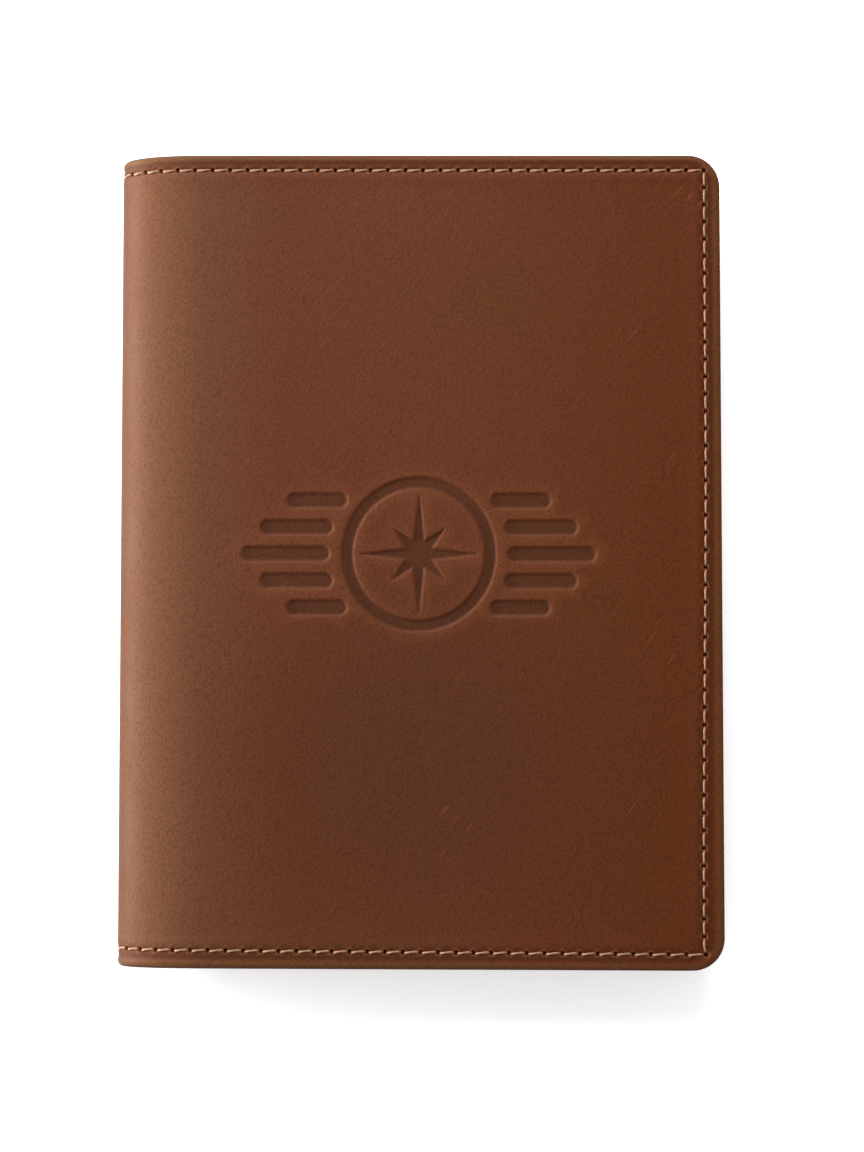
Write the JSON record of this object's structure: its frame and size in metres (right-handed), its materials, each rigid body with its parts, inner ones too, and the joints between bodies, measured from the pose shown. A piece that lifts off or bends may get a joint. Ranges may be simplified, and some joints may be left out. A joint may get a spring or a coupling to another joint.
{
  "type": "passport holder",
  "caption": "Slim leather passport cover that folds like a book, with a rounded spine, edge stitching, a passport sleeve and card slots.",
  "frame": {"origin": "middle of the underside of the closed holder, which lies on its back cover", "axes": "+X from the spine to the fore-edge, +Y to the top edge, +Z from the back cover up to the front cover"},
  "size_m": [0.104, 0.14, 0.0154],
  "materials": {
    "cover_leather": "semi-gloss pebbled brown leather",
    "turned_edge": "pared and turned brown leather",
    "board": "grey-brown fibre board",
    "lining": "matt woven lining",
    "pocket_leather": "smooth satin leather",
    "thread": "waxed tan sewing thread"
  },
  "bodies": {
    "back_cover": {"back_cover_leather": "cover_leather", "back_cover_hem": "turned_edge", "back_board": "board", "back_lining": "lining", "passport_sleeve": "pocket_leather", "passport_sleeve_hem": "pocket_leather", "back_needle_thread": "thread", "back_bobbin_thread": "thread"},
    "spine": {"spine_leather": "cover_leather", "spine_lining": "lining", "spine_hem_top": "turned_edge", "spine_hem_bottom": "turned_edge", "spine_needle_thread_top": "thread", "spine_needle_thread_bottom": "thread", "spine_bobbin_thread_top": "thread", "spine_bobbin_thread_bottom": "thread"},
    "front_cover": {"front_cover_leather": "cover_leather", "front_cover_hem": "turned_edge", "front_board": "board", "front_lining": "lining", "slip_pocket": "pocket_leather", "slip_pocket_hem": "pocket_leather", "card_slot_upper": "pocket_leather", "card_slot_middle": "pocket_leather", "card_slot_lower": "pocket_leather", "front_needle_thread": "thread", "front_bobbin_thread": "thread", "card_slot_thread": "thread"}
  },
  "joints": [
    {"name": "spine_fold", "type": "hinge", "parent": "back_cover", "child": "spine", "pos_m": [-0.0502, 0, 0.0018], "axis": [0, -1, 0], "range_deg": [0, 90]},
    {"name": "front_cover_fold", "type": "hinge", "parent": "spine", "child": "front_cover", "pos_m": [-0.0502, 0, 0.0136], "axis": [0, -1, 0], "range_deg": [0, 90]}
  ]
}
